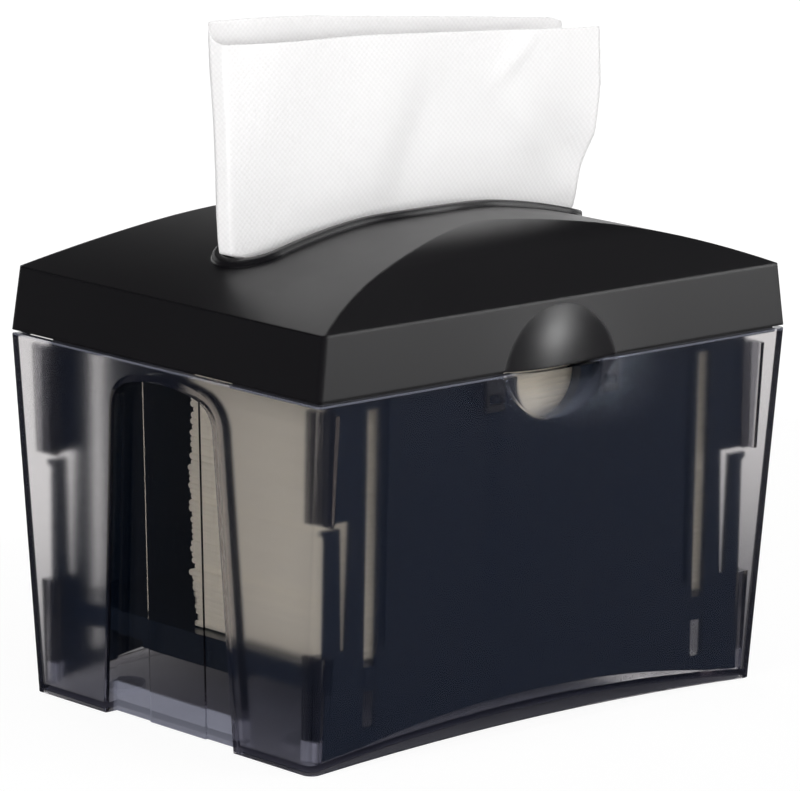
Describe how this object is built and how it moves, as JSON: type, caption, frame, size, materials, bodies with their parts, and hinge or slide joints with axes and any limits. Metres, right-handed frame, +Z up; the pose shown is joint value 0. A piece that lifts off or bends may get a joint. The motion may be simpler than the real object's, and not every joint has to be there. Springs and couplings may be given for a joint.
{
  "type": "napkin_dispenser",
  "caption": "Tabletop napkin dispenser with a smoked clear body, hinged black cover with a long slot, sprung platform and a pack of folded paper napkins",
  "frame": {"origin": "on the table plane under the middle of the shell, half way across its width and depth", "axes": "+X to the right along the long side, +Y from the thumb dish at the front to the hinge at the back, +Z up"},
  "size_m": [0.2036, 0.1528, 0.2283],
  "materials": {
    "smoked_clear": "smoke tinted clear plastic, frosted outer walls, polished end recesses",
    "black_plastic": "satin moulded black plastic",
    "panel_plastic": "smooth moulded black plastic",
    "spring_steel": "plain drawn spring wire",
    "pin_steel": "ground steel pin",
    "foot_rubber": "soft grey rubber",
    "napkin_paper": "soft white tissue, lightly embossed"
  },
  "bodies": {
    "base": {"shell": "smoked_clear", "magazine_front_panel": "panel_plastic", "magazine_rear_panel": "panel_plastic", "lift_spring": "spring_steel", "hinge_pin_left": "pin_steel", "hinge_pin_right": "pin_steel", "foot_front_left": "foot_rubber", "foot_front_right": "foot_rubber", "foot_rear_left": "foot_rubber", "foot_rear_right": "foot_rubber", "napkin_pack": "napkin_paper"},
    "cover": {"cover": "black_plastic", "lead_napkin": "napkin_paper"},
    "platform": {"platform": "panel_plastic"}
  },
  "joints": [
    {"name": "lid_hinge", "type": "hinge", "parent": "base", "child": "cover", "pos_m": [0, 0.07285, 0.117], "axis": [-1, 0, 0], "range_deg": [0, 95]},
    {"name": "platform_lift", "type": "slide", "parent": "base", "child": "platform", "axis": [0, 0, 1], "range_m": [0, 0.082], "deforming": ["lift_spring", "napkin_pack"]}
  ]
}
